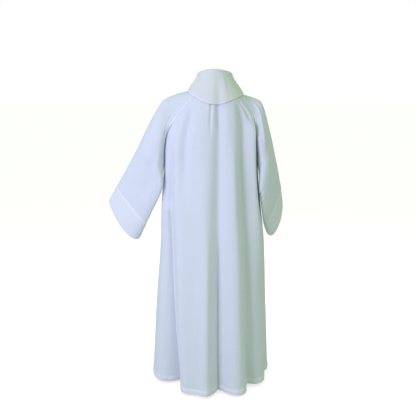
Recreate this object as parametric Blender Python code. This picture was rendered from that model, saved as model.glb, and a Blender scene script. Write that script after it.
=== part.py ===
"""Raglan alb, worn: front, back, two sleeves and a wide turned-down collar.

Metres, +Z up. The wearer faces -Y, and +X is the wearer's left. The origin is at the base of
the neck, where the wearer holds the garment up. Angles round the body are in degrees from the
centre of the back: +90 is the wearer's left side, 180 the centre of the front.
"""
import math
from collections import namedtuple

import bpy
import numpy as np

# Cloth and making, in metres
WALL = 0.0016           # one layer of alb cloth, with its nap and small ripples
COLLAR_WALL = 0.0024    # two layers, turned out and pressed
SEAM_GAP = 0.0003       # space between two pieces at a seam
HEM_DEPTH = 0.025       # turned hem round the bottom
CUFF_DEPTH = 0.085      # turned hem at the end of a sleeve
TURN_RAISE = 0.0009     # second layer of a turned hem
TURN_STEP = 0.0035      # slope between one layer and two
WELT_WIDTH = 0.006      # felled raglan seam, on the sleeve's side
WELT_RAISE = 0.0010
WELT_FADES = -0.15      # height at which the welt flattens towards the underarm
WELT_FADE_LENGTH = 0.05
SHARP_TURN = 0.7        # cosine past which two pieces no longer share a normal at their seam

# How finely each piece is divided
RAGLAN_ROWS = 9
RAGLAN_CROWDING = 1.15  # above 1, rows stand closer together towards the neck
SKIRT_ROWS = 15
BACK_COLUMNS = 34
FRONT_COLUMNS = 34
SLEEVE_ROWS = 9
HALF_SLEEVE_COLUMNS = 9
EVEN_BELOW = 0.10       # length below the welt's end over which the sleeve's columns even out
COLLAR_COLUMNS = 44

# Rings round the body, from the neckline to the hem: half widths from the centre to the wearer's
# left and right, depths to the back and front, the slope of the ring towards the front, and the
# angles at which the raglan seams cross it (they end at the side, at the underarm).
Ring = namedtuple("Ring", "name height centre left right back front tilt "
                          "back_left back_right front_left front_right")
RINGS = [
    Ring("neckline", 0.000, -0.015, 0.098, 0.098, 0.078, 0.088, 0.30, 42, 50, 46, 46),
    Ring("nape", -0.030, -0.015, 0.130, 0.134, 0.100, 0.108, 0.22, 45, 60, 50, 50),
    Ring("yoke", -0.090, -0.013, 0.174, 0.182, 0.120, 0.126, 0.12, 56, 66, 58, 58),
    Ring("blades", -0.150, -0.010, 0.206, 0.208, 0.132, 0.138, 0.05, 66, 70, 66, 66),
    Ring("chest", -0.240, -0.006, 0.226, 0.222, 0.140, 0.147, 0.00, 80, 77, 78, 78),
    Ring("underarm", -0.370, -0.004, 0.232, 0.232, 0.150, 0.152, 0.00, 90, 90, 90, 90),
    Ring("waist", -0.560, 0.000, 0.250, 0.248, 0.172, 0.165, 0.00, 90, 90, 90, 90),
    Ring("hip", -0.745, 0.000, 0.257, 0.262, 0.200, 0.187, 0.00, 90, 90, 90, 90),
    Ring("knee", -1.062, 0.000, 0.282, 0.277, 0.245, 0.222, 0.00, 90, 90, 90, 90),
    Ring("hem", -1.437, 0.000, 0.305, 0.295, 0.290, 0.262, 0.00, 90, 90, 90, 90),
]
NECKLINE, UNDERARM, HEM = 0.0, -0.370, -1.437

# Long folds of the body: where each runs, how deep (minus is a trough) and half as wide, in
# degrees, at its upper and lower ends, and the heights between which it comes in and fades.
Fold = namedtuple("Fold", "name angle_up angle_down depth_up depth_down half_up half_down "
                          "starts full fades gone growth")
NEVER = -9.0
FOLDS = [
    Fold("centre back", -1, -4, -0.009, -0.040, 9, 7, -0.03, -0.12, NEVER, NEVER, 1.2),
    Fold("centre back ridge", 10, 9, 0.002, 0.012, 9, 8, -0.20, -0.60, NEVER, NEVER, 1.0),
    Fold("right back", -34, -41, -0.013, -0.040, 8, 8, -0.05, -0.14, NEVER, NEVER, 1.5),
    Fold("right back ridge", -20, -22, 0.003, 0.012, 9, 9, -0.15, -0.60, NEVER, NEVER, 1.0),
    Fold("right blade", -52, -60, -0.006, -0.003, 5, 5, -0.02, -0.07, -0.12, -0.22, 1.0),
    Fold("right edge ridge", -60, -66, 0.010, 0.004, 8, 10, -0.12, -0.22, -0.70, -1.10, 1.0),
    Fold("left blade", 36, 30, -0.010, -0.004, 8, 8, -0.06, -0.14, -0.32, -0.60, 1.0),
    Fold("left side back", 64, 43, -0.010, -0.098, 9, 11, -0.20, -0.32, NEVER, NEVER, 2.1),
    Fold("left back ridge", 50, 28, 0.006, 0.020, 9, 10, -0.15, -0.30, NEVER, NEVER, 1.6),
    Fold("right side back", -74, -54, -0.004, -0.050, 8, 9, -0.60, -0.90, NEVER, NEVER, 1.6),
    Fold("left side front", 116, 132, -0.008, -0.060, 9, 10, -0.42, -0.60, NEVER, NEVER, 1.6),
    Fold("right side front", -118, -134, -0.008, -0.055, 9, 10, -0.42, -0.60, NEVER, NEVER, 1.6),
    Fold("left front", 148, 153, -0.008, -0.038, 8, 7, -0.10, -0.24, NEVER, NEVER, 1.3),
    Fold("right front", -150, -156, -0.007, -0.034, 8, 7, -0.12, -0.28, NEVER, NEVER, 1.3),
    Fold("centre front", 179, 177, -0.005, -0.030, 8, 7, -0.14, -0.34, NEVER, NEVER, 1.4),
]

# The shoulder line, from the neckline to above the underarm, against the ring that its row
# joins. The trough is how far the sleeve turns away from the body there, from 0 to 1.
Shoulder = namedtuple("Shoulder", "height x y z trough")
LEFT_SHOULDER = [
    Shoulder(0.000, 0.083, 0.000, 0.000, 0.00),
    Shoulder(-0.030, 0.124, 0.000, -0.009, 0.00),
    Shoulder(-0.090, 0.186, 0.000, -0.027, 0.03),
    Shoulder(-0.150, 0.240, 0.000, -0.058, 0.14),
    Shoulder(-0.240, 0.298, -0.008, -0.150, 0.66),
    Shoulder(-0.370, 0.372, -0.024, -0.294, 1.00),
]
RIGHT_SHOULDER = [
    Shoulder(0.000, -0.113, 0.000, -0.002, 0.00),
    Shoulder(-0.030, -0.148, 0.000, -0.022, 0.00),
    Shoulder(-0.090, -0.202, 0.000, -0.041, 0.04),
    Shoulder(-0.150, -0.240, 0.000, -0.066, 0.20),
    Shoulder(-0.240, -0.274, 0.000, -0.170, 0.70),
    Shoulder(-0.370, -0.308, -0.004, -0.310, 1.00),
]

# Sections of each sleeve below the underarm: the points of its upper and its under edge, and
# how far the loop swells between them on the side that starts at the back and at the front.
Section = namedtuple("Section", "name along top under back front")
LEFT_SECTIONS = [
    Section("underarm", 0.00, (0.372, -0.024, -0.294), (0.228, 0.000, -0.370),
            (0.004, 0.074, 0.004), (0.004, -0.074, 0.004)),
    Section("upper arm", 0.25, (0.412, -0.034, -0.366), (0.262, -0.008, -0.470),
            (0.000, 0.072, 0.000), (0.000, -0.072, 0.000)),
    Section("elbow", 0.55, (0.463, -0.052, -0.452), (0.300, -0.024, -0.590),
            (0.006, 0.066, -0.006), (-0.006, -0.066, 0.006)),
    Section("cuff", 1.00, (0.522, -0.080, -0.556), (0.363, -0.050, -0.744),
            (0.020, 0.056, -0.022), (-0.020, -0.056, 0.022)),
]
RIGHT_SECTIONS = [
    Section("underarm", 0.00, (-0.308, -0.004, -0.310), (-0.236, 0.000, -0.370),
            (-0.004, 0.092, -0.004), (-0.004, -0.092, -0.004)),
    Section("upper arm", 0.25, (-0.326, -0.018, -0.388), (-0.254, 0.008, -0.480),
            (-0.008, 0.082, -0.014), (-0.004, -0.080, 0.004)),
    Section("elbow", 0.55, (-0.346, -0.082, -0.466), (-0.265, -0.014, -0.592),
            (-0.018, 0.070, -0.044), (0.015, -0.064, 0.032)),
    Section("cuff", 1.00, (-0.367, -0.183, -0.562), (-0.270, -0.077, -0.688),
            (-0.025, 0.060, -0.071), (0.025, -0.060, 0.071)),
]
KEEL = 0.80             # how far the loop is drawn outwards beside the underarm seam
KEEL_FADES = 1.4        # one over the part of the sleeve in which it fades
ROOT_FADES = 3          # the same, for the under edge's shift to the body's underarm point
CREASES_FADE = 6        # the same, for creases beside a seam
LOOP_HANDLE = 4 / 3     # a curve's handle for each unit that its middle swells
SHOULDER_HANDLE = 0.42  # how far the sleeve's cap runs level from the shoulder line, of its reach
SEAM_HANDLE = 0.38      # and how far it runs on from the body's surface at the raglan seam
HALF_LOOP = 1.6         # length of half a loop for each unit between its upper and under edges

# Creases across the sleeves, between two places given as (along, around): along is 0 at the
# underarm and 1 at the cuff, around is -1 at the back seam, 0 on top and 1 at the front seam.
Crease = namedtuple("Crease", "name start end depth half")
LEFT_CREASES = [
    Crease("back hollow", (0.00, -0.62), (0.62, -0.40), -0.007, 0.15),
    Crease("elbow dip", (0.30, -0.34), (0.50, -0.70), -0.005, 0.10),
    Crease("front hollow", (0.00, 0.55), (0.70, 0.45), -0.007, 0.16),
]
RIGHT_CREASES = [
    Crease("outer hollow", (-0.16, -0.26), (0.36, -0.24), -0.005, 0.15),
    Crease("elbow back", (0.34, -0.95), (0.40, -0.40), -0.006, 0.09),
    Crease("inner hollow", (0.05, 0.76), (0.60, 0.72), -0.004, 0.12),
]

# The collar: where it folds over, and where its free edge lies on the garment, named by the
# ring height of the place under it.
Fall = namedtuple("Fall", "name angle fold_out fold_up edge swell")
COLLAR = [
    Fall("front", -180, 0.096, 0.034, -0.088, 0.010),
    Fall("right front", -135, 0.090, 0.046, -0.052, 0.008),
    Fall("right", -90, 0.080, 0.064, -0.027, 0.003),
    Fall("right back", -45, 0.083, 0.078, -0.050, 0.004),
    Fall("back", 0, 0.090, 0.087, -0.083, 0.005),
    Fall("left back", 45, 0.082, 0.080, -0.046, 0.004),
    Fall("left", 90, 0.078, 0.066, -0.020, 0.003),
    Fall("left front", 135, 0.090, 0.046, -0.050, 0.008),
    Fall("front again", 180, 0.096, 0.034, -0.088, 0.010),
]
COLLAR_CENTRE = -0.012  # the neck stands a little to the wearer's right of the skirt's middle
FOLD_RADIUS = 0.0045
COLLAR_LIES = 0.0045    # the fall's middle surface above the cloth under its edge
STAND_PARTS = (0, 0.35, 0.7, 1)
FOLD_PARTS = (0.25, 0.5, 0.75)
FALL_PARTS = (0, 0.22, 0.45, 0.7, 0.88, 1)
STAND_LEAVES = 0.35     # how far the stand runs straight from the neck seam, of its length
STAND_RISES = 0.020     # how far it runs upright below the fold
FALL_DROPS = 0.016      # how far the fall runs upright below the fold
FALL_LANDS = 0.4        # how far it runs straight to its free edge, of its length

CLOTH_COLOUR = (0.78, 0.82, 0.88)
CLOTH_ROUGHNESS = 0.85


def blend(table, field, at, key="height"):
    """The table's value at a height or angle, on a smooth curve through its rows."""
    rows = sorted(table, key=lambda row: getattr(row, key))
    places = [getattr(row, key) for row in rows]
    values = [np.array(getattr(row, field), float) for row in rows]
    at = min(max(at, places[0]), places[-1])
    i = next(k for k in range(len(rows) - 1) if at <= places[k + 1])
    span = places[i + 1] - places[i]

    def slope(k):
        low, high = max(k - 1, 0), min(k + 1, len(rows) - 1)
        return (values[high] - values[low]) / (places[high] - places[low])

    t = (at - places[i]) / span
    return ((2 * t**3 - 3 * t**2 + 1) * values[i] + (t**3 - 2 * t**2 + t) * span * slope(i)
            + (3 * t**2 - 2 * t**3) * values[i + 1] + (t**3 - t**2) * span * slope(i + 1))


def ease(t):
    """0 to 1, level at both ends."""
    t = min(max(t, 0.0), 1.0)
    return t * t * (3 - 2 * t)


def fold_depth(angle, height):
    """How far the body's folds move the cloth out at an angle and height."""
    total = 0.0
    for fold in FOLDS:
        down = (fold.starts - height) / (fold.starts - HEM)
        if down <= 0:
            continue
        strength = ease((fold.starts - height) / (fold.starts - fold.full))
        strength *= 1 - ease((fold.fades - height) / max(fold.fades - fold.gone, 1e-6))
        centre = fold.angle_up + (fold.angle_down - fold.angle_up) * down**0.8
        half = fold.half_up + (fold.half_down - fold.half_up) * down
        depth = fold.depth_up + (fold.depth_down - fold.depth_up) * down**fold.growth
        away = (angle - centre + 180) % 360 - 180
        total += strength * depth * math.exp(-(away / half) ** 2)
    return total


def body(angle, height):
    """A point of the body's cloth."""
    ring = {field: float(blend(RINGS, field, height))
            for field in ("centre", "left", "right", "back", "front", "tilt")}
    sine, cosine = math.sin(math.radians(angle)), math.cos(math.radians(angle))
    wide = ring["left"] if sine >= 0 else ring["right"]
    deep = ring["back"] if cosine >= 0 else ring["front"]
    outward = np.array((sine / wide, cosine / deep, 0.0))
    outward /= np.linalg.norm(outward)
    y = deep * cosine
    point = np.array((ring["centre"] + wide * sine, y, height + ring["tilt"] * y))
    return point + outward * fold_depth(angle, height)


def seam_angle(side, face, height):
    """The raglan seam's angle: side is left or right, face is back or front."""
    angle = 90.0
    if height > UNDERARM:
        angle = min(float(blend(RINGS, f"{face}_{side}", height)), 90.0)
    angle = angle if face == "back" else 180 - angle
    return angle if side == "left" else -angle


def bezier(a, b, c, d, t):
    return ((1 - t)**3 * a + 3 * (1 - t)**2 * t * b + 3 * (1 - t) * t**2 * c + t**3 * d)


def keel_of(side, swell, along):
    """How far the loop is drawn outwards at its under edge, fading towards the cuff."""
    out = abs(swell[1]) * KEEL * (1 - ease(along * KEEL_FADES))
    return np.array((out if side == "left" else -out, 0.0, 0.0))


def raglan_row(side, height, around):
    """A point of the sleeve above the underarm, on the row that joins the body at this height."""
    table = LEFT_SHOULDER if side == "left" else RIGHT_SHOULDER
    sections = LEFT_SECTIONS if side == "left" else RIGHT_SECTIONS
    top = np.array([float(blend(table, axis, height)) for axis in "xyz"])
    trough = float(blend(table, "trough", height))
    face = "back" if around < 0 else "front"
    towards = 1 if around < 0 else -1
    angle = seam_angle(side, face, height)
    seam = body(angle, height)
    turn = towards if side == "left" else -towards
    onward = body(angle + turn, height) - seam
    onward /= np.linalg.norm(onward)
    reach = np.linalg.norm(top - seam)
    swell = np.array(sections[0].back if around < 0 else sections[0].front)
    keel = keel_of(side, swell, 0.0)
    level = np.array((0, towards * reach * SHOULDER_HANDLE, 0))
    top_handle = level * (1 - trough) + swell * LOOP_HANDLE * trough
    seam_handle = onward * reach * SEAM_HANDLE * (1 - trough) + (swell + keel) * LOOP_HANDLE * trough
    return bezier(top, top + top_handle, seam + seam_handle, seam, abs(around))


def sleeve_loop(side, along, around):
    """A point of the sleeve below the underarm, before its creases."""
    sections = LEFT_SECTIONS if side == "left" else RIGHT_SECTIONS
    top = blend(sections, "top", along, "along")
    under = blend(sections, "under", along, "along")
    root = body(90 if side == "left" else -90, UNDERARM)
    under = under + (root - np.array(sections[0].under)) * (1 - ease(along * ROOT_FADES))
    swell = blend(sections, "back" if around < 0 else "front", along, "along")
    under_handle = (swell + keel_of(side, swell, along)) * LOOP_HANDLE
    return bezier(top, top + swell * LOOP_HANDLE, under + under_handle, under, abs(around))


def crease_depth(creases, along, around):
    """How far the sleeve's creases move the cloth out."""
    total = 0.0
    for crease in creases:
        start, end = np.array(crease.start), np.array(crease.end)
        line = end - start
        place = np.array((along, around)) - start
        t = min(max(place @ line / (line @ line), 0.0), 1.0)
        away = np.linalg.norm(place - t * line)
        strength = math.sin(math.pi * (0.15 + 0.7 * t))      # deepest halfway
        total += crease.depth * strength * math.exp(-(away / crease.half) ** 2)
    return total


def turned_rows(length, depth):
    """Row places along a piece whose last stretch, depth long, is the turned hem."""
    end = 1 - depth / length
    step = TURN_STEP / length
    return [end - step, end, (end + 1) / 2, 1.0]


class Panel:
    """A grid of points of one cut piece, and how far its second layer is raised at each."""

    def __init__(self, name, points, raised):
        self.name = name
        rows, columns = points.shape[:2]
        flat = points.reshape(-1, 3)
        keys = {}
        self.index = np.array([keys.setdefault(tuple(np.round(p, 7)), len(keys)) for p in flat])
        self.keys = list(keys)
        first = np.array([int(np.argmax(self.index == i)) for i in range(len(keys))])
        self.points = flat[first]
        self.raised = np.array(raised, float).reshape(-1)[first]
        self.faces = []
        grid = self.index.reshape(rows, columns)
        for i in range(rows - 1):
            for j in range(columns - 1):
                corners = [grid[i, j], grid[i + 1, j], grid[i + 1, j + 1], grid[i, j + 1]]
                corners = [c for k, c in enumerate(corners) if c != corners[k - 1]]
                self.faces.append([int(c) for c in corners])


def body_heights():
    """Heights of the body's rows, the same for front and back so that their seams meet."""
    raglan = [UNDERARM * (i / RAGLAN_ROWS) ** RAGLAN_CROWDING for i in range(RAGLAN_ROWS + 1)]
    length = UNDERARM - HEM
    turned = turned_rows(length, HEM_DEPTH)
    skirt = [turned[0] * i / SKIRT_ROWS for i in range(1, SKIRT_ROWS)] + turned
    return raglan + [UNDERARM - length * part for part in skirt]


def body_panel(name, face, columns):
    """The front or the back, from seam to seam, always the same way round the body."""
    points, raised = [], []
    for height in body_heights():
        first, last = seam_angle("left", face, height), seam_angle("right", face, height)
        if face == "front":
            first, last = last, first - 360
        row = [body(first + (last - first) * j / columns, height) for j in range(columns + 1)]
        points.append(row)
        raised.append([TURN_RAISE if height <= HEM + HEM_DEPTH + 1e-6 else 0.0] * len(row))
    return Panel(name, np.array(points), raised)


def sleeve_panel(name, side):
    """A sleeve, from the neckline over the shoulder to the cuff, round from back to front seam."""
    sections = LEFT_SECTIONS if side == "left" else RIGHT_SECTIONS
    creases = LEFT_CREASES if side == "left" else RIGHT_CREASES
    length = np.linalg.norm(np.array(sections[-1].top) - np.array(sections[0].top))
    turned = turned_rows(length, CUFF_DEPTH)
    tube = [turned[0] * i / SLEEVE_ROWS for i in range(1, SLEEVE_ROWS)] + turned
    raglan = body_heights()[:RAGLAN_ROWS + 1]
    rows = [(height, 0.0) for height in raglan] + [(None, along) for along in tube]
    points, raised = [], []
    for height, along in rows:
        def place(around):
            if height is None:
                return sleeve_loop(side, along, around)
            return raglan_row(side, height, around)

        reach = HALF_LOOP * np.linalg.norm(place(0.0) - place(-1.0))
        fade, spread = 1.0, 1.0
        if height is not None:
            fade = 1 - ease((WELT_FADES - height) / WELT_FADE_LENGTH)
            spread = ease((WELT_FADES - height) / EVEN_BELOW)
        even = 1 / (HALF_SLEEVE_COLUMNS + 2)
        edge = WELT_WIDTH / reach * (1 - spread) + even * spread
        inner = (WELT_WIDTH + TURN_STEP) / reach * (1 - spread) + 2 * even * spread
        half = [1.0, 1 - edge, 1 - inner] + [(1 - inner) * (1 - k / HALF_SLEEVE_COLUMNS)
                                             for k in range(1, HALF_SLEEVE_COLUMNS + 1)]
        arounds = [-a for a in half] + half[-2::-1]
        row, lifts = [], []
        for around in arounds:
            point = place(around)
            row.append(point)
            if height is None:
                lifts.append(TURN_RAISE if along >= turned[1] - 1e-9 else 0.0)
            else:
                lifts.append(WELT_RAISE * fade if abs(around) >= 1 - edge - 1e-9 else 0.0)
        points.append(row)
        raised.append(lifts)
    points = np.array(points)
    outward = grid_normals(points)
    for i, (height, along) in enumerate(rows):
        level = along if height is None else -0.5 * (1 - height / UNDERARM)
        for j, around in enumerate(arounds):
            depth = crease_depth(creases, level, around) * ease((1 - abs(around)) * CREASES_FADE)
            points[i, j] += outward[i, j] * depth
    if side == "left":
        points, raised = points[:, ::-1], [lifts[::-1] for lifts in raised]
    return Panel(name, points, raised)


def grid_normals(points):
    """Outward direction at each point of a sleeve's grid."""
    down = np.gradient(points, axis=0)
    across = np.gradient(points, axis=1)
    normals = np.cross(down, across)
    lengths = np.linalg.norm(normals, axis=2, keepdims=True)
    normals /= np.maximum(lengths, 1e-9)
    middle = points.shape[1] // 2
    if normals[2, middle][2] < 0:
        normals = -normals
    return normals


def shared_normals(panels):
    """One normal for each place, the same on both sides of every seam."""
    sums = {}
    for panel in panels:
        for face in panel.faces:
            corners = panel.points[face]
            normal = np.cross(corners[2] - corners[0], corners[-1] - corners[1])
            for corner in face:
                sums[panel.keys[corner]] = sums.get(panel.keys[corner], 0) + normal
    return {key: total / np.linalg.norm(total) for key, total in sums.items()}


def border(faces):
    """The edges that have a face on one side only, in their face's direction."""
    edges = {}
    for face in faces:
        for a, b in zip(face, face[1:] + face[:1]):
            edges[(a, b)] = face
    return {edge: face for edge, face in edges.items() if (edge[1], edge[0]) not in edges}


def inward_ways(panel, edges):
    """For each point of the border, the directions along the cloth away from its seam."""
    ways = {}
    for (a, b), face in edges.items():
        along = panel.points[b] - panel.points[a]
        along /= np.linalg.norm(along)
        into = panel.points[face].mean(axis=0) - (panel.points[a] + panel.points[b]) / 2
        into -= along * (into @ along)
        into /= np.linalg.norm(into)
        for corner in (a, b):
            ways.setdefault(corner, []).append(into)
    return ways


def sharp_places(panels, shared, owns):
    """The places along the seams, in a trough or at the underarm, where each side of the seam
    keeps a rim that stands square to its own cloth."""
    sharp = set()
    for panel, own in zip(panels, owns):
        for corner, ways in inward_ways(panel, border(panel.faces)).items():
            key = panel.keys[corner]
            if shared[key] @ sum(ways) > 0 or shared[key] @ own[key] < SHARP_TURN:
                sharp.add(key)
    return sharp


def cloth(panel, shared, own, sharp):
    """A panel given its wall: outer skin, inner skin and the rims between them."""
    edges = border(panel.faces)
    points = panel.points.copy()
    normal = np.array([own[key] if key in sharp else shared[key] for key in panel.keys])
    for corner, ways in inward_ways(panel, edges).items():
        total = sum(ways)
        spread = max(1 + ways[0] @ ways[-1], 0.5) * len(ways) / 2
        points[corner] += total / spread * SEAM_GAP / 2
    outer = points + normal * panel.raised[:, None]
    inner = points - normal * WALL
    count = len(points)
    faces = list(panel.faces) + [[count + c for c in face[::-1]] for face in panel.faces]
    for a, b in edges:
        if panel.keys[a] > panel.keys[b]:     # both sides of a seam split their rims alike
            faces += [[b, a, count + b], [a, count + a, count + b]]
        else:
            faces += [[b, a, count + a], [b, count + a, count + b]]
    return np.vstack((outer, inner)), faces


def neck_place(angle, height):
    """A point of the garment round the neck, on whichever piece lies at that angle."""
    side = "left" if angle >= 0 else "right"
    turn = abs(angle)
    back, front = abs(seam_angle(side, "back", height)), abs(seam_angle(side, "front", height))
    if turn <= back or turn >= front:
        return body(angle, height)
    if turn < 90:
        return raglan_row(side, height, -(90 - turn) / (90 - back))
    return raglan_row(side, height, (turn - 90) / (front - 90))


def collar_profile(angle):
    """The collar's middle line at an angle: up the stand, over the fold, down to the free edge."""
    fold_out, fold_up, edge, swell = (float(blend(COLLAR, field, angle, "angle"))
                                      for field in ("fold_out", "fold_up", "edge", "swell"))
    direction = np.array((math.sin(math.radians(angle)), math.cos(math.radians(angle)), 0.0))
    up = np.array((0, 0, 1.0))
    neck = neck_place(angle, NECKLINE)
    fold = np.array((COLLAR_CENTRE, 0, fold_up)) + direction * fold_out
    landing = neck_place(angle, edge)
    slope = neck_place(angle, edge + 0.006) - neck_place(angle, edge - 0.006)
    round_neck = neck_place(min(angle + 2, 180), edge) - neck_place(max(angle - 2, -180), edge)
    off = np.cross(slope, round_neck)
    off /= np.linalg.norm(off)
    off = off if off[2] > 0 else -off
    landing = landing + off * COLLAR_LIES
    start = neck + (fold - neck) / np.linalg.norm(fold - neck) * (SEAM_GAP + 0.0002) + up * 0.0002
    inside = fold - direction * FOLD_RADIUS
    outside = fold + direction * FOLD_RADIUS
    leaving, upright = start + (inside - start) * STAND_LEAVES, inside - up * STAND_RISES
    stand = [bezier(start, leaving, upright, inside, t) for t in STAND_PARTS]
    over = [fold + (up * math.sin(math.pi * t) - direction * math.cos(math.pi * t)) * FOLD_RADIUS
            for t in FOLD_PARTS]
    dropping = outside - up * FALL_DROPS
    onto = landing - (landing - outside) * FALL_LANDS + direction * swell
    fall = [bezier(outside, dropping, onto, landing, t) for t in FALL_PARTS]
    return np.array(stand + over + fall)


def collar_mesh():
    """The collar, one band of two layers round the neck."""
    angles = [-180 + 360 * i / COLLAR_COLUMNS for i in range(COLLAR_COLUMNS)]
    lines = np.array([collar_profile(angle) for angle in angles])
    along = np.gradient(lines, axis=1)
    around = (np.roll(lines, -1, axis=0) - np.roll(lines, 1, axis=0))
    normals = np.cross(along, around)
    normals /= np.linalg.norm(normals, axis=2, keepdims=True)
    columns, points = lines.shape[:2]
    ring = np.concatenate((lines + normals * COLLAR_WALL / 2,
                           (lines - normals * COLLAR_WALL / 2)[:, ::-1]), axis=1)
    size = ring.shape[1]
    faces = []
    for i in range(columns):
        nearby = (i + 1) % columns
        for k in range(size):
            onward = (k + 1) % size
            faces.append([i * size + k, i * size + onward, nearby * size + onward, nearby * size + k])
    return ring.reshape(-1, 3), faces


def cloth_material(name):
    material = bpy.data.materials.new(name)
    material.use_nodes = True
    shader = material.node_tree.nodes["Principled BSDF"]
    shader.inputs["Base Color"].default_value = (*CLOTH_COLOUR, 1)
    shader.inputs["Roughness"].default_value = CLOTH_ROUGHNESS
    shader.inputs["Metallic"].default_value = 0.0
    return material


def add_piece(name, points, faces):
    """One cut piece as an object, its faces turned outwards."""
    mesh = bpy.data.meshes.new(name)
    mesh.from_pydata([tuple(p) for p in points], [], faces)
    mesh.validate()
    corners = np.array(points)
    volume = 0.0
    for face in faces:
        for k in range(1, len(face) - 1):
            volume += corners[face[0]] @ np.cross(corners[face[k]], corners[face[k + 1]])
    if volume < 0:
        mesh.flip_normals()
    mesh.shade_smooth()
    mesh.materials.append(cloth_material(f"{name}_cloth"))
    piece = bpy.data.objects.new(name, mesh)
    bpy.context.scene.collection.objects.link(piece)
    return piece


def main():
    for old in list(bpy.data.objects):
        bpy.data.objects.remove(old, do_unlink=True)
    panels = [
        body_panel("back", "back", BACK_COLUMNS),
        body_panel("front", "front", FRONT_COLUMNS),
        sleeve_panel("sleeve_left", "left"),
        sleeve_panel("sleeve_right", "right"),
    ]
    shared = shared_normals(panels)
    body_own = shared_normals(panels[:2])
    owns = [body_own, body_own, shared_normals([panels[2]]), shared_normals([panels[3]])]
    sharp = sharp_places(panels, shared, owns)
    for panel, own in zip(panels, owns):
        add_piece(panel.name, *cloth(panel, shared, own, sharp))
    add_piece("collar", *collar_mesh())


main()
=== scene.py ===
import math
from collections import namedtuple

import bpy
import numpy as np
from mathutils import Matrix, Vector, noise


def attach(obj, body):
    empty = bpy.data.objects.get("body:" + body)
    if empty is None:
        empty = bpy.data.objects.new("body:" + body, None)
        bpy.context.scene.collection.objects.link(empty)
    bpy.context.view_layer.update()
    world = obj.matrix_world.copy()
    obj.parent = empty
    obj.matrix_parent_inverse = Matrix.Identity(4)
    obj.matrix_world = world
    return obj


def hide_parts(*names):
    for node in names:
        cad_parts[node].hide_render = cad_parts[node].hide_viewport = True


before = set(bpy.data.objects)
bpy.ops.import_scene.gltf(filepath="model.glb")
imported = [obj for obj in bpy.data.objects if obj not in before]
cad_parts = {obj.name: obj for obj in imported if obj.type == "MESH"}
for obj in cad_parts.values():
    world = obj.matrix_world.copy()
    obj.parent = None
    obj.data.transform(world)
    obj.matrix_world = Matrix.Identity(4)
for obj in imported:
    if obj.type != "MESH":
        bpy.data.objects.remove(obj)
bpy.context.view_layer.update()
print("frame loaded:", ", ".join(sorted(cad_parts)))

# Metres, +Z up. The wearer faces -Y, +X is the wearer's left. Angles round the body are in
# degrees from the centre of the back, + to the wearer's left. Heights are below the neckline.
cloth = {
    "wall": 0.0012,    # one layer, with its nap
    "collarWall": 0.0022,    # two layers, turned out and pressed
    "hemDepth": 0.025,
    "cuffDepth": 0.074,
    "turnRaise": 0.0016,    # what a turned hem adds on the outside
    "turnStep": 0.0035,
    "rowInset": 0.003,    # its row of stitches, from the fold's inner edge
    "turnedInHighlight": 0.0038,    # half width of the lighter strip where its raw edge is turned in, partly a painted highlight on the raised row
    "hemShade": 0.35,    # two layers in a hem or cuff against the four in a welt, as lightness painted into the colour; the full lightness of welts and stitched rows is partly a painted highlight
    "layerStep": 0.002,    # over which another layer begins to show
    "weltWidth": 0.0078,    # felled raglan seam, on the sleeve's side
    "weltRaise": 0.0023,
    "weltRises": 0.0013,
    "weltFalls": 0.0022,
    "weltFades": -0.15,    # below this the welt flattens towards the underarm
    "weltFadesOver": 0.06,
    "stitchGroove": 0.0016,
    "grooveWidth": 0.0026,
}
pucker = {
    "slant": 0.35,
    "short": 0.013,    # size of the short ripples
    "shortDepth": 0.0026,
    "long": 0.060,    # and of the slow ones they ride on
    "longDepth": 0.0020,
    "reach": 0.016,
}
worn = {"size": 0.085, "depth": 0.0012, "bodyFade": 30, "sleeveFade": 16}    # fades are towards a seam
# places in the noise, so that no two pieces have the same hollows or puckers
seeds = {"hem": 3.0, "body": 5.0, "cuff": 7.0, "slow": 9, "left": 11.0, "right": 17.0, "collar": 23.0}
necklineHeight, underarmHeight, hemHeight = 0.0, -0.370, -1.437


def together(*values):
    return np.broadcast_arrays(*(np.asarray(value, float) for value in values))


def vectors(x, y, z):
    return np.stack(np.broadcast_arrays(x, y, z), axis=-1)


def unit(arrows):
    return arrows / np.maximum(np.linalg.norm(arrows, axis=-1, keepdims=True), 1e-12)


def wayAlong(points, axis=0):
    # how far it is along each row or column of points, from 0
    steps = np.linalg.norm(np.diff(points, axis=axis), axis=-1)
    start = np.zeros_like(steps.take([0], axis))
    return np.cumsum(np.concatenate((start, steps), axis=axis), axis=axis)


def smooth(rows, field, at, key="height"):
    # the smooth curve through a table's rows, read at any number of places
    rows = sorted(rows, key=lambda row: getattr(row, key))
    places = np.array([getattr(row, key) for row in rows], float)
    values = np.array([getattr(row, field) for row in rows], float)
    values = values.reshape(len(rows), -1)
    low = np.maximum(np.arange(len(rows)) - 1, 0)
    high = np.minimum(np.arange(len(rows)) + 1, len(rows) - 1)
    slopes = (values[high] - values[low]) / (places[high] - places[low])[:, None]
    at = np.clip(np.asarray(at, float), places[0], places[-1])
    i = np.clip(np.searchsorted(places, at, side="left") - 1, 0, len(rows) - 2)
    span = (places[i + 1] - places[i])[..., None]
    t = (at - places[i])[..., None] / span
    found = ((2 * t**3 - 3 * t**2 + 1) * values[i] + (t**3 - 2 * t**2 + t) * span * slopes[i]
             + (3 * t**2 - 2 * t**3) * values[i + 1] + (t**3 - t**2) * span * slopes[i + 1])
    return found[..., 0] if values.shape[1] == 1 else found


def ease(t):
    # 0 to 1, level at both ends
    t = np.clip(t, 0.0, 1.0)
    return t * t * (3 - 2 * t)


def hump(away, half):
    # 1 in the middle, falling off on both sides
    return np.exp(-(away / half)**2)


def bezier(a, b, c, d, t):
    t = np.asarray(t, float)[..., None]
    return (1 - t)**3 * a + 3 * (1 - t)**2 * t * b + 3 * (1 - t) * t**2 * c + t**3 * d


# Form of the body, close to its solids, with deeper folds at the back

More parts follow.
